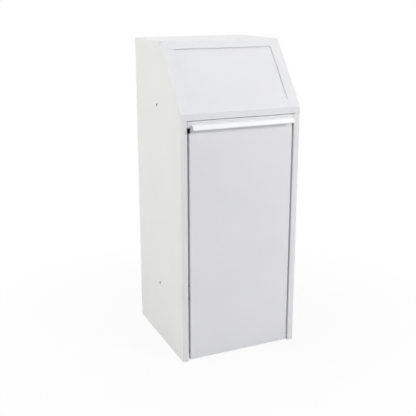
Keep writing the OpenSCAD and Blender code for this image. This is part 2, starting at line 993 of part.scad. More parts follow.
module catch_screw_holes() {
    at_catch_screws()
        along_x(-over, catch_screw_l + over)
            circle(catch_screw_r + hole_fit);
}

module catch_screws() {
    color(zinc)
        at_catch_screws()
            rotate([0, 90, 0]) {
                translate([0, 0, -catch_head_t])
                    cylinder(h = catch_head_t, r1 = 1.4 * catch_screw_r, r2 = 2 * catch_screw_r);
                cylinder(h = catch_screw_l, r = catch_screw_r);
            }
}

// DOOR
// Door folded back on all four sides. The side returns end below the grip, and above its notches the
// face has an ear on each side that nearly meets the post
module door_panel() {
    color(steel_white)
        difference() {
            union() {
                difference() {
                    door_form(door_x, front_y, front_y + door_return, door_low, door_top, bend_out);
                    door_form(door_x - sheet, front_y + sheet, front_y + door_return + over,
                              door_low + sheet, door_top - sheet, bend_r);
                    both_sides()
                        upper_corner();
                }
                both_sides()
                    door_ear();
            }
            translate([0, pivot_y, pivot_h])
                along_x(-door_x - over, door_x + over)
                    circle(pivot_bush_r + hole_fit / 2);
            both_sides()
                at_stay_screws()
                    along_x(door_x - drill, door_x + drill)
                        circle(d = screw_d + 2 * hole_fit);
            grip_rivet_holes();
        }
}

// What is cut away at each upper corner of the door
module upper_corner() {
    translate([notch_x, front_y - over, door_top - ear_h - notch_h])
        cube([notch_in + over, door_return + 2 * over, ear_h + notch_h + over]);
}

module door_ear() {
    x0 = notch_x - ear_root;
    x1 = notch_x + relief;
    low = door_top - ear_h;
    shoulder = door_top - bend_out;
    along_y(front_y, front_y + sheet)
        polygon([[x0, low], [ear_x, low], [ear_x, door_top], [x1, door_top], [x1, shoulder],
                 [x0, shoulder]]);
}

module door_form(x, y0, y1, z0, z1, r) {
    intersection() {
        along_z(z0, z1)
            rounded([-x, y0], [x, y1], r, true, false);
        along_x(-x, x)
            translate([y0, z0])
                rotate(-90)
                    mirror([1, 0])
                        rounded([0, 0], [z1 - z0, y1 - y0], r, true, false);
    }
}

// Hat-shaped stiffener behind the door, closed against its face by the feet
module stiffener() {
    y0 = front_y + sheet + half;
    y1 = hat_back - half;
    w = hat_w / 2 - half;
    difference() {
        along_z(hat_low, hat_high)
            folded([[hat_x - w - hat_foot, y0], [hat_x - w, y0], [hat_x - w, y1], [hat_x + w, y1],
                    [hat_x + w, y0], [hat_x + w + hat_foot, y0]], sheet, bend_r);
        for (z = concat(bracket_screw_z, tray_screw_z))
            translate([hat_x, hat_back - drill, z])
                rotate([-90, 0, 0])
                    cylinder(h = 2 * drill, d = screw_d + 2 * hole_fit);
    }
}

module right_stiffener() {
    color(steel_white)
        stiffener();
}

module left_stiffener() {
    color(steel_white)
        mirror([1, 0, 0])
            stiffener();
}

// Grip across the whole door: a hooked profile, open below, riveted to the door under its hood
module door_handle() {
    grip_top = door_top - grip_below - grip_t / 2;
    grip_low = grip_top - grip_h + grip_t;
    y0 = front_y - grip_t / 2;
    y_top = front_y - grip_out_top + grip_t / 2;
    y_low = front_y - grip_out_low + grip_t / 2;
    x = door_x - grip_inset;
    color("white")
        difference() {
            along_x(-x, x)
                folded([[y0, grip_low], [y0, grip_top], [y_top, grip_top], [y_low, grip_low],
                        [y_low + grip_hem, grip_low]], grip_t, grip_r);
            grip_rivet_holes();
        }
}

module at_grip_rivets() {
    pitch = (door_w - 2 * grip_rivet_end) / (grip_rivets - 1);
    for (i = [0 : grip_rivets - 1])
        translate([grip_rivet_end - door_x + i * pitch, front_y - grip_t, grip_rivet_z])
            children();
}

module grip_rivet_holes() {
    at_grip_rivets()
        rotate([-90, 0, 0])
            translate([0, 0, -drill])
                cylinder(h = 2 * drill, d = rivet_d + 2 * hole_fit);
}

module handle_rivets() {
    color(zinc)
        at_grip_rivets()
            rivet(rivet_d, grip_t + sheet);
}

// Flanged nylon bush in the door's side return
module pivot_bush() {
    translate([0, pivot_y, pivot_h])
        difference() {
            union() {
                along_x(door_x - sheet - pivot_flange_t, door_x + gap)
                    circle(pivot_bush_r);
                along_x(door_x + gap / 2, door_x + gap / 2 + pivot_flange_t)
                    circle(pivot_bush_r + pivot_flange_t);
            }
            along_x(door_x - 2 * drill, door_x + drill)
                circle(pivot_d / 2 + run_fit);
        }
}

module right_pivot_bush() {
    color(nylon)
        pivot_bush();
}

module left_pivot_bush() {
    color(nylon)
        mirror([1, 0, 0])
            pivot_bush();
}

// Sector of a flat ring between two angles, measured from upright towards the back
module sector(outer, inner, a0, a1) {
    steps = ceil((a1 - a0) / 40);
    intersection() {
        ring_2d(outer, inner);
        polygon(concat([[0, 0]], [for (i = [0 : steps])
            1.3 * outer * unit(90 - a0 - (a1 - a0) * i / steps)]));
    }
}

// Curved stay: a slot about the door's pivot that slides over the pin on the post, and whose end
// stops the door
module stay() {
    slot_r = stay_pin_d / 2 + stay_slack;
    slack_a = asin(stay_slack / stay_r);
    a0 = stay_pin_a - slack_a;
    a1 = stay_pin_a + door_tilt + slack_a;
    difference() {
        along_x(stay_x0, door_x - sheet) {
            translate([pivot_y, pivot_h]) {
                sector(stay_r + stay_w / 2, stay_r - stay_w / 2, 0, a1);
                translate(stay_r * unit(90 - a1))
                    circle(stay_w / 2);
            }
            rounded([front_y + bend_out + gap, stay_pin_z - stay_tab_h / 2],
                    [front_y + door_return, stay_pin_z + stay_tab_h / 2], stay_tab_r, true, true);
        }
        along_x(stay_x0 - over, door_x + over)
            translate([pivot_y, pivot_h]) {
                sector(stay_r + slot_r, stay_r - slot_r, a0, a1);
                for (a = [a0, a1])
                    translate(stay_r * unit(90 - a))
                        circle(slot_r);
            }
        at_stay_screws()
            along_x(stay_x0 - over, door_x + over)
                circle(d = screw_d + 2 * hole_fit);
    }
}

module at_stay_screws() {
    for (s = [-0.5, 0.5])
        translate([0, front_y + stay_screw_in, stay_pin_z + s * stay_screw_pitch])
            children();
}

module right_stay() {
    color(zinc)
        stay();
}

module left_stay() {
    color(zinc)
        mirror([1, 0, 0])
            stay();
}

module stay_screws() {
    color(zinc)
        both_sides()
            at_stay_screws()
                translate([door_x, 0, 0])
                    mirror([1, 0, 0]) {
                        screw(screw_d, sheet + stay_t);
                        nut(screw_d, sheet + stay_t);
                    }
}

// Cranked steel plate on the door, which the magnet holds
module catch_plate() {
    t = catch_plate_t;
    y0 = front_y + sheet + t / 2;
    y1 = catch_y - gap - t / 2;
    z = magnet_z - catch_crank;
    color(zinc)
        along_x(-magnet_w / 2, magnet_w / 2)
            folded([[y0, z - catch_foot], [y0, z], [y1, z], [y1, magnet_z + magnet_h]], t, bend_r);
}

// BAG HOLDER, ON THE DOOR
// Bracket: a folded plate whose arm runs along the ring, with a shelf on which the clamp rests
module holder_bracket() {
    h = bracket_t / 2;
    x = ring_w / 2 + h;
    y0 = hat_back;
    y1 = ring_y + bracket_l;
    z1 = bracket_top;
    z0 = z1 - bracket_h;
    flange_x = hat_x - hat_w / 2 + 2;
    arm_y = y0 + bracket_t + bend_r;
    difference() {
        union() {
            intersection() {
                along_y(y0, y1)
                    folded([[x, z0 - over], [x, z1 - h], [x + h + bracket_flange, z1 - h]],
                           bracket_t, bend_r);
                along_x(0, x + 2 * bracket_flange)
                    polygon([[arm_y, z0], [y0 + bracket_root, z0], [y1, z1 - bracket_tip], [y1, z1],
                             [arm_y, z1]]);
            }
            along_z(z0, z1 - bracket_t - bend_r)
                folded([[flange_x, y0 + h], [x, y0 + h], [x, arm_y + 1]], bracket_t, bend_r);
        }
        along_x(x - drill, x + drill)
            translate([y0 + bracket_hole_y, z1 - bracket_hole_z])
                circle(bracket_hole_r);
        at_ring_screws()
            along_x(x - drill, x + drill)
                circle(d = small_screw_d + 2 * hole_fit);
        for (z = bracket_screw_z)
            translate([hat_x, y0 - over, z])
                rotate([-90, 0, 0])
                    cylinder(h = drill, d = screw_d + 2 * hole_fit);
    }
}

module at_ring_screws() {
    for (y = ring_screw_y)
        translate([0, y, ring_screw_z])
            children();
}

module right_holder_bracket() {
    color(zinc)
        holder_bracket();
}

module left_holder_bracket() {
    color(zinc)
        mirror([1, 0, 0])
            holder_bracket();
}

// Ring of flat bar, over whose edge the bag is folded
module bag_holder() {
    x = ring_w / 2;
    t = ring_t;
    color(zinc)
        difference() {
            along_z(ring_z, ring_top)
                difference() {
                    rounded([-x, ring_y], [x, ring_y + ring_d], ring_r, true, true);
                    rounded([t - x, ring_y + t], [x - t, ring_y + ring_d - t], ring_r - t,
                            true, true);
                }
            both_sides()
                at_ring_screws()
                    along_x(x - drill, x + drill)
                        circle(d = small_screw_d + 2 * hole_fit);
            translate([0, clamp_y, clamp_z])
                along_x(-x - over, x + over)
                    circle(clamp_d / 2 + run_fit);
        }
}

module holder_screws() {
    color(zinc)
        both_sides() {
            at_ring_screws()
                translate([ring_w / 2 + bracket_t, 0, 0])
                    mirror([1, 0, 0]) {
                        screw(small_screw_d, bracket_t + ring_t);
                        nut(small_screw_d, bracket_t + ring_t);
                    }
            for (z = bracket_screw_z)
                translate([hat_x, hat_back + bracket_t, z])
                    rotate([0, 0, -90]) {
                        screw(screw_d, bracket_t + sheet);
                        nut(screw_d, bracket_t + sheet);
                    }
        }
}

// Folded tray that carries the foot of the bag and swings out with the door
module bag_tray() {
    x = tray_w / 2;
    y0 = hat_back;
    y1 = y0 + tray_d;
    z0 = tray_low;
    color(zinc)
        difference() {
            tray_form(x, y0, y1, z0, bend_out, 0);
            tray_form(x - sheet, y0 + sheet, y1 - sheet, z0 + sheet, bend_r, over);
            for (z = tray_screw_z)
                both_sides()
                    translate([hat_x, y0 - over, z])
                        rotate([-90, 0, 0])
                            cylinder(h = drill, d = screw_d + 2 * hole_fit);
        }
}

// Box with round lower edges and a top that falls from the front to the back
module tray_form(x, y0, y1, z0, r, extra) {
    front_z = tray_low + tray_front_h + extra;
    back_z = tray_low + tray_back_h + extra;
    intersection() {
        along_y(y0, y1)
            rounded([-x, z0], [x, front_z], r, true, false);
        along_x(-x, x)
            intersection() {
                rounded([y0, z0], [y1, front_z], r, true, false);
                polygon([[y0, z0], [y0, front_z], [y0 + sheet + tray_shoulder, front_z],
                         [y1 - tray_flat, back_z], [y1, back_z], [y1, z0]]);
            }
    }
}

module tray_screws() {
    color(zinc)
        both_sides()
            for (z = tray_screw_z)
                translate([hat_x, hat_back + sheet, z])
                    rotate([0, 0, -90]) {
                        screw(screw_d, 2 * sheet);
                        nut(screw_d, 2 * sheet);
                    }
}

// BAG CLAMP
// Bail of round wire that drops round the ring and traps the bag's edge, hinged in the ring's sides
module bag_clamp() {
    color(zinc)
        translate([0, 0, clamp_z])
            both_sides()
                half_clamp();
}

module half_clamp() {
    inner_x = ring_w / 2 - ring_t - 2;
    corner_y = clamp_front_y + clamp_corner;
    along_x(0, clamp_x - clamp_corner)
        translate([clamp_front_y, 0])
            circle(d = clamp_d);
    translate([clamp_x - clamp_corner, corner_y, 0])
        rotate([0, 0, -90])
            wire_bend(clamp_corner);
    along_y(corner_y, clamp_y - clamp_bend)
        translate([clamp_x, 0])
            circle(d = clamp_d);
    translate([clamp_x - clamp_bend, clamp_y - clamp_bend, 0])
        wire_bend(clamp_bend);
    along_x(inner_x, clamp_x - clamp_bend)
        translate([clamp_y, 0])
            circle(d = clamp_d);
}

// Quarter turn of the clamp's wire
module wire_bend(r) {
    rotate_extrude(angle = 90)
        translate([r, 0])
            circle(d = clamp_d);
}

left_side_panel();
right_side_panel();
back_panel();
floor_pan();
top_cover();
slope_frame();
cabinet_rivets();
left_rod_bracket();
right_rod_bracket();
flap_rod();
rod_clips();
flap_bumpers();
door_bumpers();
magnet_housing();
catch_magnet();
catch_screws();
left_pivot_plate();
right_pivot_plate();
left_pivot_pin();
right_pivot_pin();
left_stay_pin();
right_stay_pin();
flap_panel();
left_flap_bush();
right_flap_bush();
left_flap_spring();
right_flap_spring();
door_panel();
left_stiffener();
right_stiffener();
door_handle();
handle_rivets();
left_pivot_bush();
right_pivot_bush();
left_stay();
right_stay();
stay_screws();
catch_plate();
left_holder_bracket();
right_holder_bracket();
holder_screws();
bag_holder();
bag_tray();
tray_screws();
bag_clamp();
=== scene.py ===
import json
import math

import bmesh
import bpy
from mathutils import Matrix, Vector


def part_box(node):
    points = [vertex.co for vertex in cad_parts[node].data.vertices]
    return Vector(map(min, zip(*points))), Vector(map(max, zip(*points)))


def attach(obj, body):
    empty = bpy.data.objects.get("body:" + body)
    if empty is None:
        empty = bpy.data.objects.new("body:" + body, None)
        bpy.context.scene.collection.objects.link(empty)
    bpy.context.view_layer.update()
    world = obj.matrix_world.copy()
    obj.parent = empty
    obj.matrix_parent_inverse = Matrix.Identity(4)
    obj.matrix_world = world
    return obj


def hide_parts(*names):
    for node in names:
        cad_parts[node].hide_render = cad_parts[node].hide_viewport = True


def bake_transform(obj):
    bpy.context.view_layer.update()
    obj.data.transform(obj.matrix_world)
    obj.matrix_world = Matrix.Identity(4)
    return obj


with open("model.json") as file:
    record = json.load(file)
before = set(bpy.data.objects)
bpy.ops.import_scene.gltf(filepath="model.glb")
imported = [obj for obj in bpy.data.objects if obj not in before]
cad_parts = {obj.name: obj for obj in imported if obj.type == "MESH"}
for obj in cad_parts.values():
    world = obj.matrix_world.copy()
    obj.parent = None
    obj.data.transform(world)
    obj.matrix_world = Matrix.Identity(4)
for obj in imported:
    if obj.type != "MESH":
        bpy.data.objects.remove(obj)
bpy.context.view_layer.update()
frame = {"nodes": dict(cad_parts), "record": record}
node = frame["nodes"]

# The bin is seen from its left front corner, a little above its own height, with a lens of
# normal length. The frame is let down a little to take in the foot.
cam_data = bpy.data.cameras.new("bin_camera")
cam_data.sensor_width = 36
cam_data.lens = 61.66
cam_data.shift_y = -0.041
camera = bpy.data.objects.new("bin_camera", cam_data)
bpy.context.scene.collection.objects.link(camera)
camera.location = (-0.976, -2.1265, 1.139)
camera.rotation_euler = (math.radians(90 - 15.27), 0, math.radians(-24.10))
bpy.context.scene.camera = camera

# Side panels: 1 mm steel sheet, each folded in one piece with its front post and rear flange, and
# sprayed with white powder, which leaves a fine orange peel, a coat of uneven thickness, and less
# on the edges. Round each of the two coupling holes, low and high, a dark ring of painted shade
# makes the shade inside the hole look wider.
white = (0.835, 0.84, 0.845)
# Colour of the painted shade round the coupling holes.
hole_shade_colour = (0.03, 0.03, 0.032)
hole_shade_width = 0.0016


def new_material(name):
    """A material, with its tree, its shader, and the part's own coordinates."""
    material = bpy.data.materials.new(name)
    material.use_nodes = True
    tree = material.node_tree
    coords = tree.nodes.new("ShaderNodeTexCoord").outputs["Object"]
    return material, tree, tree.nodes["Principled BSDF"], coords


def set_looks(tree, shader, tone, rough, normal):
    """Gives a shader the three things that vary over every surface here."""
    for socket, value in (("Base Color", tone), ("Roughness", rough), ("Normal", normal)):
        tree.links.new(value, shader.inputs[socket])


def add_noise(tree, coords, scale, detail, roughness=0.5):
    noise = tree.nodes.new("ShaderNodeTexNoise")
    noise.inputs["Scale"].default_value = scale
    noise.inputs["Detail"].default_value = detail
    noise.inputs["Roughness"].default_value = roughness
    tree.links.new(coords, noise.inputs["Vector"])
    return noise.outputs["Fac"]


def add_range(tree, value, low, high, to_low, to_high):
    span = tree.nodes.new("ShaderNodeMapRange")
    tree.links.new(value, span.inputs["Value"])
    limits = {"From Min": low, "From Max": high, "To Min": to_low, "To Max": to_high}
    for name, number in limits.items():
        span.inputs[name].default_value = number
    return span.outputs["Result"]


def add_mix(tree, share, first, second):
    mix = tree.nodes.new("ShaderNodeMix")
    mix.data_type = "RGBA"
    tree.links.new(share, mix.inputs[0])
    for socket, colour in ((mix.inputs[6], first), (mix.inputs[7], second)):
        if isinstance(colour, tuple):
            socket.default_value = (*colour, 1)
        else:
            tree.links.new(colour, socket)
    return mix.outputs[2]


def add_math(tree, operation, first, second):
    result = tree.nodes.new("ShaderNodeMath")
    result.operation = operation
    for socket, value in zip(result.inputs, (first, second)):
        if isinstance(value, (int, float)):
            socket.default_value = value
        else:
            tree.links.new(value, socket)
    return result.outputs[0]


def add_bump(tree, height, distance, strength, below=None):
    bump = tree.nodes.new("ShaderNodeBump")
    bump.inputs["Distance"].default_value = distance
    bump.inputs["Strength"].default_value = strength
    tree.links.new(height, bump.inputs["Height"])
    if below:
        tree.links.new(below, bump.inputs["Normal"])
    return bump.outputs["Normal"]


def edge_share(tree, radius):
    """1 on the edges of the sheet, 0 on its flats."""
    rounded = tree.nodes.new("ShaderNodeBevel")
    rounded.samples = 4
    rounded.inputs["Radius"].default_value = radius
    flat = tree.nodes.new("ShaderNodeNewGeometry")
    dot = tree.nodes.new("ShaderNodeVectorMath")
    dot.operation = "DOT_PRODUCT"
    tree.links.new(rounded.outputs["Normal"], dot.inputs[0])
    tree.links.new(flat.outputs["Normal"], dot.inputs[1])
    return add_range(tree, dot.outputs["Value"], 0.995, 0.8, 0, 1)


def shades(colour, *shares):
    """Lighter or darker kinds of one colour."""
    return [tuple(min(1, c * s) for c in colour) for s in shares]


def powder_coat(name, colour, matt=0.48, peel=0.35, handled=None):
    """White powder coat. handled is two heights: worn below the first, less up to the second."""
    coat, tree, shader, coords = new_material(name)
    cloud = add_noise(tree, coords, 5, 3)
    speck = add_noise(tree, coords, 240, 2)
    thin, full, edge_wear_and_hole_shade = shades(colour, 0.975, 1.012, 0.93)
    tone = add_mix(tree, add_range(tree, cloud, 0.3, 0.7, 0, 1), thin, full)
    worn = add_range(tree, speck, 0.3, 0.7, 0.3, 0.9)
    tone = add_mix(tree, add_math(tree, "MULTIPLY", edge_share(tree, 0.0012), worn), tone, edge_wear_and_hole_shade)
    rough = add_range(tree, cloud, 0.25, 0.75, matt - 0.05, matt + 0.05)
    if handled:
        low, high = handled
        height = tree.nodes.new("ShaderNodeSeparateXYZ")
        tree.links.new(coords, height.inputs[0])
        smear = add_noise(tree, coords, 28, 4, 0.65)
        rising = add_range(tree, height.outputs["Z"], low, high, 1, 0)
        touched = add_math(tree, "MULTIPLY", rising, add_range(tree, smear, 0.48, 0.66, 0, 1))
        rough = add_math(tree, "SUBTRACT", rough, add_math(tree, "MULTIPLY", touched, 0.1))
        tone = add_mix(tree, add_math(tree, "MULTIPLY", touched, 0.5), tone, thin)
    shader.inputs["IOR"].default_value = 1.5
    orange_peel = add_noise(tree, coords, 300, 1.5, 0.4)
    waves = add_bump(tree, add_noise(tree, coords, 70, 1), 0.0002, 0.25)
    set_looks(tree, shader, tone, rough, add_bump(tree, orange_peel, 0.0001, peel, waves))
    return coat


def dress(material, *names):
    """Puts a material on solids of the CAD."""
    for name in names:
        slots = node[name].data.materials
        slots.clear()
        slots.append(material)


def paint_hole_shade(coat, middle_z, half_pitch, reach):
    """Paints shade round a pair of holes, as far as reach from the axis of each: a dark, dull ring
    that widens the shade inside the holes.
    """
    tree = coat.node_tree
    shader = tree.nodes["Principled BSDF"]
    coords = tree.nodes.new("ShaderNodeTexCoord").outputs["Object"]
    place = tree.nodes.new("ShaderNodeSeparateXYZ")
    tree.links.new(coords, place.inputs[0])
    height = add_math(tree, "ABSOLUTE", add_math(tree, "SUBTRACT", place.outputs["Z"], middle_z), 0)
    rise = add_math(tree, "SUBTRACT", height, half_pitch)
    squares = [add_math(tree, "MULTIPLY", way, way) for way in (rise, place.outputs["Y"])]
    far = add_math(tree, "SQRT", add_math(tree, "ADD", *squares), 0)
    ragged = 0.0002
    shade_fray = add_range(tree, add_noise(tree, coords, 900, 3, 0.6), 0.3, 0.7, -ragged, ragged)
    edge_wear_and_hole_shade = add_range(tree, add_math(tree, "ADD", far, shade_fray), reach - ragged, reach + ragged, 1, 0)
    # Painted shade: inside the ring the colour turns dark and the surface almost stops reflecting.
    coated = shader.inputs["Base Color"].links[0].from_socket
    tree.links.new(add_mix(tree, edge_wear_and_hole_shade, coated, hole_shade_colour), shader.inputs["Base Color"])
    tree.links.new(add_range(tree, edge_wear_and_hole_shade, 0, 1, 0.5, 0.05), shader.inputs["Specular IOR Level"])


side_coat = powder_coat("side_powder_coat", white)
coupling = next(m for m in frame["record"]["mounts"] if m["name"] == "left_coupling")
hole_r, hole_pitch = coupling["dims"]["hole_r_mm"] / 1000, coupling["dims"]["spacing_y_mm"] / 1000
# Painted shade round the coupling holes, reaching 1.6 mm past the rim of each hole.
paint_hole_shade(side_coat, coupling["pos_m"][2], hole_pitch / 2, hole_r + hole_shade_width)
dress(side_coat, "left_side_panel", "right_side_panel")

# Back panel and floor pan: 1 mm sheet, folded and coated like the sides. The pan stands on the
# floor, so its coat is duller and a little soiled.
back_coat = powder_coat("back_powder_coat", white, matt=0.52, peel=0.45)
pan_coat = powder_coat("floor_pan_coat", (0.80, 0.80, 0.80), matt=0.6, peel=0.45,
                       handled=(0.0, 0.03))
dress(back_coat, "back_panel")
dress(pan_coat, "floor_pan")

# Blind rivets along the rear flanges: aluminium domes painted with the cabinet, each with the hole
# of its pulled mandrel in the middle, and upset behind the sheets.
rivet_d, sheet_t, round_steps = 0.004, 0.001, 24
rivet_head_h = 0.35 * rivet_d
rivet_low, rivet_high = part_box("cabinet_rivets")
rear_rivet_x = rivet_high[0] - rivet_d
rear_y = rivet_high[1] - rivet_head_h


def spread(low, high, count):
    """Even places from the first fastener of a row to its last."""
    return [low + (high - low) * i / (count - 1) for i in range(count)]


rear_rivet_zs = spread(rivet_low[2] + rivet_d, rivet_high[2] - rivet_d, count=6)


def lathe(bm, outline, steps):
    """Turns an outline of (radius, height) round the Z axis, and closes both ends."""
    corners = [bm.verts.new((r, 0, z)) for r, z in outline]
    edges = [bm.edges.new(pair) for pair in zip(corners, corners[1:])]
    bmesh.ops.spin(bm, geom=corners + edges, cent=(0, 0, 0), axis=(0, 0, 1), dvec=(0, 0, 0),
                   angle=math.tau, steps=steps, use_merge=True, use_normal_flip=False,
                   use_duplicate=False)
    bmesh.ops.remove_doubles(bm, verts=bm.verts, dist=1e-7)
    bmesh.ops.holes_fill(bm, edges=[e for e in bm.edges if e.is_boundary], sides=0)
    bmesh.ops.recalc_face_normals(bm, faces=bm.faces)


def put_in_order(parts, key):
    """Sorts corners, edges or faces, which Blender makes in another order on each run."""
    order = {part: number for number, part in enumerate(sorted(parts, key=key))}
    parts.sort(key=order.get)
    parts.index_update()


def set_in(mesh, bm, places):
    """Copies one small form to each of its places, and keeps them as one piece."""
    put_in_order(bm.verts, lambda vert: vert.co[:])
    for parts in (bm.edges, bm.faces):
        put_in_order(parts, lambda part: sorted(vert.index for vert in part.verts))
    whole = bmesh.new()
    loose = bpy.data.meshes.new("loose")
    for place in places:
        turned = bm.copy()
        bmesh.ops.transform(turned, matrix=place, verts=turned.verts)
        if place.determinant() < 0:
            bmesh.ops.reverse_faces(turned, faces=turned.faces)
        turned.to_mesh(loose)
        whole.from_mesh(loose)
        turned.free()
    whole.to_mesh(mesh)
    whole.free()
    bm.free()
    bpy.data.meshes.remove(loose)


def new_piece(name, bm, places, material, body, slot, *stands_for, smooth=35):
    """One piece from a form and its places. body is None if the piece is put on no body."""
    mesh = bpy.data.meshes.new(name)
    set_in(mesh, bm, places)
    mesh.materials.append(material)
    for polygon in mesh.polygons:
        polygon.use_smooth = True
    mesh.set_sharp_from_angle(angle=math.radians(smooth))
    piece = bpy.data.objects.new(name, mesh)
    bpy.context.scene.collection.objects.link(piece)
    if body:
        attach(piece, body)
    if stands_for:
        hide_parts(*stands_for)
    return piece


def blind_rivet(d, grip):
    """Head below z = 0, upset end above the grip."""
    bm = bmesh.new()
    head = [(0.22 * d, 0.1 * d), (0.22 * d, -0.30 * d), (0.30 * d, -0.345 * d),
            (0.55 * d, -0.33 * d), (0.8 * d, -0.25 * d), (0.95 * d, -0.12 * d),
            (d, -0.04 * d), (d, 0), (0.5 * d, 0)]
    upset = [(0.5 * d, grip), (0.7 * d, grip + 0.08 * d), (0.76 * d, grip + 0.25 * d),
             (0.7 * d, grip + 0.5 * d), (0.5 * d, grip + 0.68 * d), (0.25 * d, grip + 0.7 * d)]
    lathe(bm, head + upset, round_steps)
    return bm


def facing(x, y, z, direction):
    """Place of a fastener whose head looks away from a direction."""
    turned = Vector(direction).to_track_quat("Z", "Y").to_matrix().to_4x4()
    return Matrix.Translation((x, y, z)) @ turned


rivet_coat = powder_coat("painted_rivet", white, matt=0.45, peel=0.2)
new_piece("rear_blind_rivets", blind_rivet(rivet_d, 2 * sheet_t),
          [facing(side * rear_rivet_x, rear_y, z, (0, -1, 0))
           for side in (-1, 1) for z in rear_rivet_zs],
          rivet_coat, "cabinet", "white_paint", "cabinet_rivets")

# Slope sheet: one long folded sheet with the stop flange, the rail, the slope round the flap's
# opening, and a lip under the cover. It sits on flanges inside the posts and side panels.
slope_coat = powder_coat("slope_powder_coat", white, matt=0.46)
dress(slope_coat, "slope_frame")

# Top cover: shallow folded lid with flanges outside the side panels, fixed from inside. Dust
# dulls its flat top.
cover_coat = powder_coat("cover_powder_coat", white, matt=0.52)
dress(cover_coat, "top_cover")

# Flap hinge on the cabinet: zinc-plated brackets on the side panels' flanges, a drawn steel rod
# between them, and a retaining ring on each end of the rod.
zinc = (0.66, 0.68, 0.70)


def stretched(tree, coords, scale):
    """Coordinates that draw a noise out into lines along the axes with a small scale."""
    drawn = tree.nodes.new("ShaderNodeMapping")
    drawn.inputs["Scale"].default_value = scale
    tree.links.new(coords, drawn.inputs["Vector"])
    return drawn.outputs["Vector"]


def zinc_plate(name, colour, dull=0.36, grain=(1, 1, 1), streak=0.0):
    """Bright zinc plating with a blue passivation: cloudy, with fine lines from the steel."""
    plate, tree, shader, coords = new_material(name)
    cloud = add_noise(tree, coords, 34, 4, 0.6)
    warm = tuple(c * s for c, s in zip(colour, (1.04, 1.01, 0.97)))
    dark = shades(colour, 0.78)[0]
    tone = add_mix(tree, add_range(tree, cloud, 0.35, 0.65, 0, 1), colour, warm)
    tone = add_mix(tree, add_math(tree, "MULTIPLY", edge_share(tree, 0.0008), 0.35), tone, dark)
    lines = add_noise(tree, stretched(tree, coords, grain), 260, 3, 0.6)
    rough = add_math(tree, "ADD", add_range(tree, cloud, 0.3, 0.7, dull - 0.07, dull + 0.05),
                     add_range(tree, lines, 0.3, 0.7, -0.04, 0.05 + streak))
    shader.inputs["Metallic"].default_value = 1
    set_looks(tree, shader, tone, rough, add_bump(tree, lines, 0.00006, 0.3 + streak))
    return plate


plated_bracket = zinc_plate("plated_bracket", zinc, grain=(1, 0.12, 1))
drawn_rod = zinc_plate("drawn_rod", (0.68, 0.69, 0.70), dull=0.27, grain=(0.05, 1, 1), streak=0.03)
ring_steel = zinc_plate("retaining_ring_steel", (0.42, 0.43, 0.45), dull=0.34)
dress(plated_bracket, "left_rod_bracket", "right_rod_bracket")
dress(drawn_rod, "flap_rod")
dress(ring_steel, "rod_clips")

# Flap: 1 mm sheet folded in on three sides, with an ear at each end of its top for the rod. Hands
# push it near its lower edge, where the coat is a little smoother.
flap_coat = powder_coat("flap_powder_coat", white, matt=0.46, handled=(0.83, 0.90))
dress(flap_coat, "flap_panel")

# Nylon bushes: moulded in natural nylon and pressed into the flap's ears, where they turn on the
# rod. Their skin is smooth and waxy.


def moulded_nylon(name, colour):
    moulded, tree, shader, coords = new_material(name)
    flow = add_noise(tree, coords, 160, 3)
    tone = add_mix(tree, add_range(tree, flow, 0.3, 0.7, 0, 1), *shades(colour, 0.9, 1.03))
    rough = add_range(tree, flow, 0.3, 0.7, 0.38, 0.5)
    shader.inputs["IOR"].default_value = 1.53
    pores = add_bump(tree, add_noise(tree, coords, 900, 2), 0.00004, 0.3)
    set_looks(tree, shader, tone, rough, pores)
    return moulded


natural_nylon = moulded_nylon("natural_nylon", (0.76, 0.74, 0.67))
dress(natural_nylon, "left_flap_bush", "right_flap_bush")

# Torsion springs: 1.4 mm spring wire wound round the rod, one leg under the flap and one under the
# slope sheet. The wire is drawn, so it is smooth and darker than the plated parts. As the flap
# swings in, its leg goes along and the turns wind up.
slope_rise, slope_run = 0.202, 0.156
flap_gap, slack = 0.0015, 0.0003
slope_angle = math.atan2(slope_rise, slope_run)
rod_low, rod_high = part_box("flap_rod")
at_rod = Matrix.Translation((0, (rod_low[1] + rod_high[1]) / 2, (rod_low[2] + rod_high[2]) / 2))
wire_d, coil_r, coil_turns, coil_pitch = 0.0014, 0.0055, 5, 0.002
flap_leg, frame_leg, frame_leg_run = 0.045, 0.012, 0.020
coil_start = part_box("right_flap_spring")[1][0] - wire_d / 2
rise = math.asin((sheet_t + flap_gap - slack) / frame_leg_run)


def move_new(bm, made, way):
    """Moves the corners that an extrusion made."""
    verts = [g for g in made["geom"] if isinstance(g, bmesh.types.BMVert)]
    bmesh.ops.translate(bm, vec=way, verts=verts)


def torsion_spring():
    """Wound from its leg under the flap. The turns run towards the middle of the rod."""
    bm = bmesh.new()
    wire = bmesh.ops.create_circle(bm, cap_ends=False, radius=wire_d / 2, segments=12)["verts"]
    bmesh.ops.rotate(bm, cent=(0, 0, 0), matrix=Matrix.Rotation(math.pi / 2, 3, "X"), verts=wire)
    bmesh.ops.translate(bm, vec=(coil_start, 0, coil_r), verts=wire)
    rim = bm.edges[:]
    move_new(bm, bmesh.ops.extrude_edge_only(bm, edges=rim), (0, -flap_leg, 0))
    sweep = math.tau * coil_turns - rise
    steps = round_steps * coil_turns
    turns = bmesh.ops.spin(bm, geom=wire + rim, cent=(0, 0, 0), axis=(-1, 0, 0),
                           dvec=(-coil_pitch * sweep / math.tau / steps, 0, 0), angle=sweep,
                           steps=steps, use_merge=False, use_normal_flip=False,
                           use_duplicate=False)
    last = [g for g in turns["geom_last"] if isinstance(g, bmesh.types.BMEdge)]
    move_new(bm, bmesh.ops.extrude_edge_only(bm, edges=last),
             (0, frame_leg * math.cos(rise), frame_leg * math.sin(rise)))
    bmesh.ops.holes_fill(bm, edges=[e for e in bm.edges if e.is_boundary], sides=0)
    bmesh.ops.recalc_face_normals(bm, faces=bm.faces)
    return bm


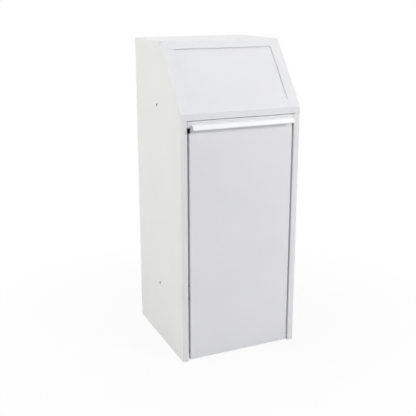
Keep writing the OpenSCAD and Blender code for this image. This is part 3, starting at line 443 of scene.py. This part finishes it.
spring_wire = zinc_plate("spring_wire", (0.50, 0.51, 0.52), dull=0.3, streak=0.02)
on_rod = at_rod @ Matrix.Rotation(slope_angle, 4, "X")
mirrored = Matrix.Diagonal((-1, 1, 1, 1))
for side, name, place in ((1, "right", on_rod), (-1, "left", mirrored @ on_rod)):
    spring = new_piece(name + "_wound_spring", torsion_spring(), [place], spring_wire, None, "zinc",
                       name + "_flap_spring", smooth=60)
    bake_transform(spring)

# Flap bumpers: small moulded rubber domes glued behind the slope sheet, on which the closed flap
# comes to rest without a clang.
dome_steps = 28


def moulded_rubber(name, colour):
    rubber, tree, shader, coords = new_material(name)
    bloom = add_noise(tree, coords, 220, 4, 0.6)
    tone = add_mix(tree, add_range(tree, bloom, 0.4, 0.75, 0, 1), *shades(colour, 0.8, 1.5))
    rough = add_range(tree, bloom, 0.3, 0.7, 0.72, 0.86)
    skin = add_bump(tree, add_noise(tree, coords, 1400, 2), 0.00005, 0.4)
    set_looks(tree, shader, tone, rough, skin)
    return rubber


def bumper(r, h):
    """Round pad with a soft edge, glued at z = 0."""
    bm = bmesh.new()
    dome = [(r, 0), (r, 0.55 * h), (0.94 * r, 0.8 * h), (0.8 * r, 0.95 * h), (0.5 * r, h)]
    lathe(bm, dome, dome_steps)
    return bm


black_rubber = moulded_rubber("black_rubber", (0.035, 0.035, 0.037))
front_y, front_height = -0.2025, 0.804
slope_plane = Matrix.Translation((0, front_y, front_height)) @ Matrix.Rotation(slope_angle, 4, "X")
opening_w, opening_foot, flap_lap, dome_inset = 0.336, 0.030, 0.008, 0.001
dome_side = 0.42 * opening_w
under_slope = slope_plane @ Matrix.Translation((0, opening_foot - flap_lap / 2, -sheet_t))
facing_down = Matrix.Rotation(math.pi, 4, "X")
new_piece("flap_rubber_domes", bumper(flap_lap / 2 - dome_inset, flap_gap - slack),
          [under_slope @ Matrix.Translation((x, 0, 0)) @ facing_down
           for x in (-dome_side, 0, dome_side)],
          black_rubber, "cabinet", "rubber", "flap_bumpers")

# Door pivots and stay pins on the posts: turned, plated pins, the lower ones backed by plates that
# are welded inside the posts. The door turns on them in nylon bushes.
turned_pin = zinc_plate("turned_pin", (0.67, 0.69, 0.71), dull=0.3, streak=0.03)
backing_plate = zinc_plate("backing_plate", (0.60, 0.61, 0.62), dull=0.42, grain=(1, 1, 0.15))
dress(turned_pin, "left_pivot_pin", "right_pivot_pin", "left_stay_pin", "right_stay_pin")
dress(backing_plate, "left_pivot_plate", "right_pivot_plate")
dress(natural_nylon, "left_pivot_bush", "right_pivot_bush")

# Door bumpers: two larger rubber domes glued to the front of the stop flange, where the door's top
# return meets them.
dome_low, dome_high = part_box("door_bumpers")
dome_r = (dome_high[2] - dome_low[2]) / 2
new_piece("door_rubber_domes", bumper(dome_r, dome_high[1] - dome_low[1]),
          [facing(side * (dome_high[0] - dome_r), dome_high[1], dome_low[2] + dome_r, (0, -1, 0))
           for side in (-1, 1)],
          black_rubber, "cabinet", "rubber", "door_bumpers")

# Magnetic catch behind the stop flange: a moulded black housing, its ferrite block, which is ground
# flat on its face, and two countersunk screws. The ferrite holds a cranked plate on the door.


def moulded_housing(name, colour):
    plastic, tree, shader, coords = new_material(name)
    flow = add_noise(tree, coords, 60, 3)
    tone = add_mix(tree, add_range(tree, flow, 0.35, 0.65, 0, 1), *shades(colour, 0.9, 1.35))
    rough = add_range(tree, flow, 0.3, 0.7, 0.42, 0.55)
    spark = add_bump(tree, add_noise(tree, coords, 1100, 2), 0.00006, 0.45)
    set_looks(tree, shader, tone, rough, spark)
    return plastic


def ground_ferrite(name, colour):
    ferrite, tree, shader, coords = new_material(name)
    marks = add_noise(tree, stretched(tree, coords, (0.05, 1, 1)), 1500, 3)
    grain = add_noise(tree, coords, 420, 4, 0.7)
    tone = add_mix(tree, add_range(tree, grain, 0.35, 0.7, 0, 1), *shades(colour, 0.75, 1.4))
    rough = add_range(tree, marks, 0.3, 0.7, 0.5, 0.68)
    set_looks(tree, shader, tone, rough, add_bump(tree, marks, 0.00005, 0.5))
    return ferrite


black_housing = moulded_housing("black_housing", (0.03, 0.03, 0.032))
catch_ferrite = ground_ferrite("catch_ferrite", (0.075, 0.07, 0.068))
cranked_plate = zinc_plate("cranked_plate", zinc, dull=0.34, grain=(1, 1, 0.1))
dress(black_housing, "magnet_housing")
dress(catch_ferrite, "catch_magnet")
dress(cranked_plate, "catch_plate")

# Screws: plated steel, with domed heads that have a six-lobed socket, rolled threads, and
# chamfered hexagon nuts.
head_r_share, head_h_share = 0.9, 0.55


def add_nut(bm, d, at):
    corner_r, nut_h, chamfer = 0.92 * d, 0.75 * d, 0.16 * d
    middle = Matrix.Translation((0, 0, at + nut_h / 2))
    hexagon = bmesh.ops.create_cone(bm, cap_ends=True, segments=6, radius1=corner_r,
                                    radius2=corner_r, depth=nut_h, matrix=middle)["verts"]
    bmesh.ops.bevel(bm, geom=hexagon, offset=chamfer, offset_type="OFFSET", segments=1,
                    profile=0.5, affect="VERTICES", material=-1)


def screw_with_nut(d, grip):
    """Head below z = 0, nut above the grip, and the thread through both."""
    bm = bmesh.new()
    head = [(0.36 * d, -head_h_share * d), (0.55 * d, -0.53 * d), (0.74 * d, -0.44 * d),
            (0.87 * d, -0.26 * d), (head_r_share * d, -0.1 * d), (0.88 * d, 0), (0.5 * d, 0)]
    crest, root, pitch, socket_depth = 0.5 * d, 0.44 * d, 0.16 * d, 0.3 * d
    end = grip + d
    turns = int((end - pitch) / pitch)
    thread = [(crest if i % 2 else root, pitch / 2 * i) for i in range(1, 2 * turns)]
    lathe(bm, head + thread + [(0.4 * d, end), (0.2 * d, end)], round_steps)
    top = min(bm.faces, key=lambda f: (round(f.calc_center_median().z, 6), -f.calc_area()))
    socket = bmesh.ops.extrude_discrete_faces(bm, faces=[top])["faces"][0]
    for vert in socket.verts:
        six_lobes = 0.82 + 0.14 * math.cos(6 * math.atan2(vert.co.y, vert.co.x))
        vert.co.x *= six_lobes
        vert.co.y *= six_lobes
    well = bmesh.ops.extrude_discrete_faces(bm, faces=[socket])["faces"][0]
    bmesh.ops.translate(bm, vec=(0, 0, socket_depth), verts=well.verts)
    add_nut(bm, d, grip)
    return bm


plated_screw = zinc_plate("plated_screw", (0.64, 0.66, 0.69), dull=0.3)
dress(plated_screw, "catch_screws")

# Door: one sheet folded back on all four sides with closed corners, the largest plain face of the
# bin. Two hat-shaped stiffeners are spot-welded behind it and carry the bag's cradle.
door_coat = powder_coat("door_powder_coat", white, matt=0.47)
stiffener_coat = powder_coat("stiffener_coat", (0.79, 0.795, 0.80), matt=0.52, peel=0.45)
dress(door_coat, "door_panel")
dress(stiffener_coat, "left_stiffener", "right_stiffener")

# Grip: a hooked profile along the whole door, open below, in a smoother and brighter white than the
# sheet. Fingers rub its lower edge. It is riveted to the door under its hood.
grip_t = 0.0012
grip_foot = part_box("door_handle")[0][2]
grip_coat = powder_coat("grip_coat", (0.91, 0.915, 0.93), matt=0.41, peel=0.15,
                        handled=(grip_foot - 0.002, grip_foot + 0.007))
grip_rivet_zinc = zinc_plate("grip_rivet", (0.70, 0.71, 0.72), dull=0.38)
dress(grip_coat, "door_handle")
rivet_low, rivet_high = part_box("handle_rivets")
new_piece("grip_blind_rivets", blind_rivet(rivet_d, grip_t + sheet_t),
          [facing(x, rivet_low[1] + rivet_head_h, (rivet_low[2] + rivet_high[2]) / 2, (0, 1, 0))
           for x in spread(rivet_low[0] + rivet_d, rivet_high[0] - rivet_d, count=5)],
          grip_rivet_zinc, "door", "zinc", "handle_rivets")

# Door stays: blanked curved plates inside the door's sides, whose slots slide over the post's pins
# and stop the door. Two screws hold each to the side return. Their heads lie in the door's side
# gap, which is in shade, and their zinc is made black as painted shade of the gap.
blanked_stay = zinc_plate("blanked_stay", zinc, dull=0.38, grain=(1, 0.3, 1))
# Painted shade: the screws' zinc is as dark as the shaded gap they sit in.
gap_shade_screw = zinc_plate("gap_shade_screw", (0.23, 0.23, 0.235), dull=0.42)
dress(blanked_stay, "left_stay", "right_stay")
screw_d, stay_t = 0.005, 0.002
head_r, head_h = head_r_share * screw_d, head_h_share * screw_d
bolt_low, bolt_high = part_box("stay_screws")
bolt_y = (bolt_low[1] + bolt_high[1]) / 2
new_piece("stay_bolts", screw_with_nut(screw_d, stay_t + sheet_t),
          [facing(side * (bolt_high[0] - head_h), bolt_y, z, (-side, 0, 0))
           for side in (-1, 1) for z in (bolt_low[2] + head_r, bolt_high[2] - head_r)],
          gap_shade_screw, "door", "zinc", "stay_screws")

# Bag holder: a ring of 25 by 3 mm flat bar, bent and welded, on two folded brackets behind the
# door. The bag is folded over its edge.
flat_bar = zinc_plate("ring_bar", (0.67, 0.69, 0.71), dull=0.33, grain=(0.2, 0.2, 1))
folded_bracket = zinc_plate("holder_bracket_plate", zinc, dull=0.4, grain=(1, 0.15, 1))
dress(flat_bar, "bag_holder")
dress(folded_bracket, "left_holder_bracket", "right_holder_bracket")
ring_x, ring_low, ring_bar_h, ring_t = 0.155, 0.640, 0.025, 0.003
bracket_t, bracket_bend_r, under_middle = 0.0025, 0.001, 0.0005
small_screw_d = 0.004
bracket_top = ring_low + ring_bar_h / 2 - under_middle
ring_screw_z = bracket_top - bracket_t - bracket_bend_r - head_r_share * small_screw_d - slack
ring_screw_y = (-0.1085, -0.0185)
new_piece("ring_bolts", screw_with_nut(small_screw_d, bracket_t + ring_t),
          [facing(side * (ring_x + bracket_t), y, ring_screw_z, (-side, 0, 0))
           for side in (-1, 1) for y in ring_screw_y],
          plated_screw, "door", "zinc", "holder_screws")
hat_x, hat_back = 0.128, -0.1865
bracket_screw_drop = (0.012, 0.078)
new_piece("bracket_bolts", screw_with_nut(screw_d, bracket_t + sheet_t),
          [facing(side * hat_x, hat_back + bracket_t, ring_low - drop, (0, -1, 0))
           for side in (-1, 1) for drop in bracket_screw_drop],
          plated_screw, "door", "zinc")

# Bag tray: galvanised sheet, folded up round the foot of the bag, with the spangle of the zinc bath
# in large pale crystals. Two screws on each side hold it to the stiffeners.


def galvanised(name, colour):
    sheet, tree, shader, coords = new_material(name)
    crystals = tree.nodes.new("ShaderNodeTexVoronoi")
    crystals.inputs["Scale"].default_value = 95
    tree.links.new(coords, crystals.inputs["Vector"])
    grey = tree.nodes.new("ShaderNodeSeparateXYZ")
    tree.links.new(crystals.outputs["Color"], grey.inputs[0])
    tone = add_mix(tree, grey.outputs["X"], *shades(colour, 0.84, 1.08))
    frost = add_noise(tree, coords, 500, 3)
    rough = add_math(tree, "ADD", add_range(tree, grey.outputs["Y"], 0, 1, 0.34, 0.5),
                     add_range(tree, frost, 0.3, 0.7, -0.03, 0.03))
    shader.inputs["Metallic"].default_value = 1
    set_looks(tree, shader, tone, rough, add_bump(tree, grey.outputs["Z"], 0.00004, 0.2))
    return sheet


dress(galvanised("galvanised_tray", (0.64, 0.65, 0.66)), "bag_tray")
bolt_low, bolt_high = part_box("tray_screws")
new_piece("tray_bolts", screw_with_nut(screw_d, 2 * sheet_t),
          [facing(side * hat_x, bolt_high[1] - head_h, z, (0, -1, 0))
           for side in (-1, 1) for z in (bolt_low[2] + head_r, bolt_high[2] - head_r)],
          plated_screw, "door", "zinc", "tray_screws")

# Bag clamp: a bail of 6 mm round wire, bent cold and plated, that drops round the ring and traps
# the bag's edge.
bent_wire = zinc_plate("bent_wire", (0.70, 0.71, 0.72), dull=0.26)
dress(bent_wire, "bag_clamp")

# The bin stands on a plain white floor in a white room. The floor runs out to the horizon and keeps
# a faint shadow at the bin's foot.
bpy.context.scene.view_settings.view_transform = "Standard"


def seen_directly(tree):
    """1 where the camera, a gloss or a glass looks at the room, 0 where it only lights the bin."""
    path = tree.nodes.new("ShaderNodeLightPath").outputs
    shown = add_math(tree, "MAXIMUM", path["Is Glossy Ray"], path["Is Transmission Ray"])
    return add_math(tree, "MAXIMUM", path["Is Camera Ray"], shown)


room = bpy.data.worlds.new("white_room")
bpy.context.scene.world = room
room.use_nodes = True
room_tree = room.node_tree
room_light = room_tree.nodes["Background"]
room_light.inputs["Color"].default_value = (1, 1, 1, 1)
room_light.inputs["Strength"].default_value = 0.2
room_seen = room_tree.nodes.new("ShaderNodeBackground")
room_seen.inputs["Color"].default_value = (1, 1, 1, 1)
room_seen.inputs["Strength"].default_value = 1
room_mix = room_tree.nodes.new("ShaderNodeMixShader")
room_tree.links.new(seen_directly(room_tree), room_mix.inputs[0])
room_tree.links.new(room_light.outputs[0], room_mix.inputs[1])
room_tree.links.new(room_seen.outputs[0], room_mix.inputs[2])
room_tree.links.new(room_mix.outputs[0], room_tree.nodes["World Output"].inputs["Surface"])

floor_mesh = bpy.data.meshes.new("floor")
bm = bmesh.new()
bmesh.ops.create_grid(bm, x_segments=1, y_segments=1, size=40)
bm.to_mesh(floor_mesh)
bm.free()
floor = bpy.data.objects.new("floor", floor_mesh)
bpy.context.scene.collection.objects.link(floor)
floor_white, tree, matt_floor, coords = new_material("floor_white")
matt_floor.inputs["Base Color"].default_value = (0.8, 0.8, 0.8, 1)
matt_floor.inputs["Roughness"].default_value = 0.9
matt_floor.inputs["Specular IOR Level"].default_value = 0
glow = tree.nodes.new("ShaderNodeEmission")
glow.inputs["Strength"].default_value = 1
distance = tree.nodes.new("ShaderNodeVectorMath")
distance.operation = "LENGTH"
tree.links.new(coords, distance.inputs[0])
shadow_from, shadow_to, glow_near = 0.3, 1.0, 0.9
share = add_range(tree, distance.outputs["Value"], shadow_from, shadow_to, glow_near, 1)
floor_mix = tree.nodes.new("ShaderNodeMixShader")
tree.links.new(add_math(tree, "MULTIPLY", share, seen_directly(tree)), floor_mix.inputs[0])
tree.links.new(matt_floor.outputs[0], floor_mix.inputs[1])
tree.links.new(glow.outputs[0], floor_mix.inputs[2])
tree.links.new(floor_mix.outputs[0], tree.nodes["Material Output"].inputs["Surface"])
floor_mesh.materials.append(floor_white)

# Studio light: large soft panels, the key at the right front, one on the left for the side, and two
# overhead, of which the rear one spares the slope. A low one behind lights the back alone.
aim = Vector((0, 0, 0.6))


def soft_panel(name, place, size, power, colour):
    light = bpy.data.lights.new(name, "AREA")
    light.shape = "SQUARE"
    light.size = size
    light.energy = power
    light.color = colour
    lamp = bpy.data.objects.new(name, light)
    bpy.context.scene.collection.objects.link(lamp)
    lamp.location = place
    lamp.rotation_euler = (aim - Vector(place)).to_track_quat("-Z", "Y").to_euler()


soft_panel("left_panel", (-3.3, 0.3, 2.2), size=2.0, power=69.5, colour=(1.0, 0.988, 0.96))
soft_panel("key_panel", (1.9, -3.1, 2.3), size=1.3, power=84, colour=(0.97, 0.965, 1.0))
soft_panel("top_panel", (0, 0.1, 3.6), size=2.0, power=21.5, colour=(0.97, 1.0, 1.0))
soft_panel("rear_panel", (0, 1.2, 3.3), size=2.0, power=9, colour=(1.0, 0.87, 0.8))
soft_panel("back_panel_light", (1.4, 3.9, 0.45), size=0.9, power=45, colour=(1.0, 1.0, 1.0))
